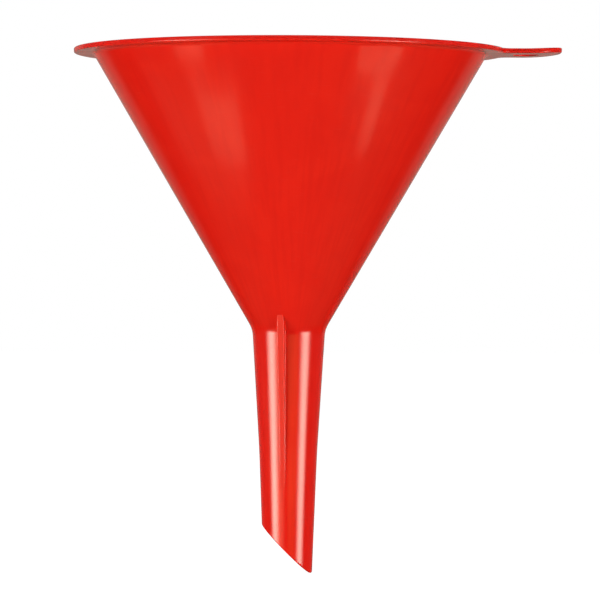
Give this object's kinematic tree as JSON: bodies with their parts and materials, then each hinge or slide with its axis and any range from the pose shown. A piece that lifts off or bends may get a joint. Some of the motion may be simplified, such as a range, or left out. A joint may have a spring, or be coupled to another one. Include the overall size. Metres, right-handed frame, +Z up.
{
  "type": "funnel",
  "caption": "Wide conical funnel with a flat rim flange, a holed hanging tab, a long tapered spout cut off at a slant, and an upright vent rib.",
  "frame": {"origin": "centre of the open mouth, in the plane of the rim's top face", "axes": "+Z up along the funnel's axis, out of the mouth; +X along the hanging tab, towards which the slanted spout is longest; the vent rib is on the -Y side"},
  "size_m": [0.1805, 0.16, 0.1946],
  "materials": {
    "red_plastic": "glossy injection-moulded polyethylene, even red all through"
  },
  "bodies": {
    "root": {"rim_flange": "red_plastic", "hanging_tab": "red_plastic", "cone_bowl": "red_plastic", "throat_collar": "red_plastic", "spout_tube": "red_plastic", "vent_rib": "red_plastic"}
  },
  "joints": []
}
